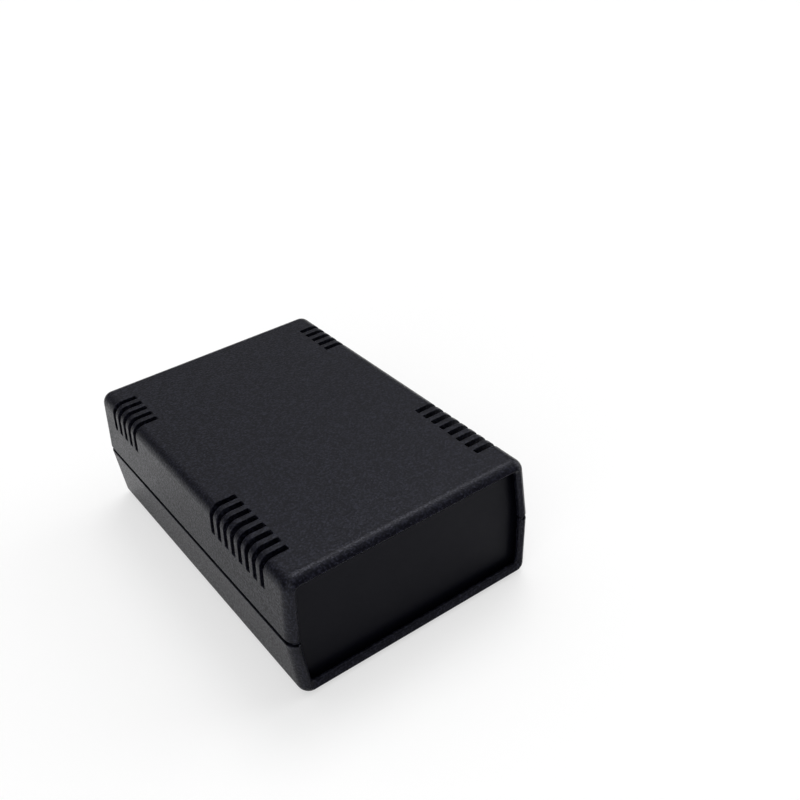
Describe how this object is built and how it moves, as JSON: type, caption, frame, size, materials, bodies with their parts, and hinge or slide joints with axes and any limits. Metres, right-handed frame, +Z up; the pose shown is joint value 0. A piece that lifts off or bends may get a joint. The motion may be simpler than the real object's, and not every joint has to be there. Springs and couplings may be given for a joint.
{
  "type": "plastic project box",
  "caption": "Black plastic box for electronics: a slotted top shell and a bottom shell meet at a grooved parting line and hold a plain panel in each open end.",
  "frame": {"origin": "middle of the underside", "axes": "X across the width, +Y along the length from the front panel to the rear panel, +Z up"},
  "size_m": [0.09, 0.133, 0.0452],
  "materials": {
    "shell": "black moulded plastic with a fine grain",
    "panel": "smooth black plastic with a soft gloss",
    "screw": "bright zinc plate"
  },
  "bodies": {
    "base": {"bottom_shell": "shell", "front_panel": "panel", "rear_panel": "panel", "case_screws": "screw"},
    "lid": {"top_shell": "shell"}
  },
  "joints": [
    {"name": "lid_lift", "type": "slide", "parent": "base", "child": "lid", "axis": [0, 0, 1], "range_m": [0, 0.06]}
  ]
}
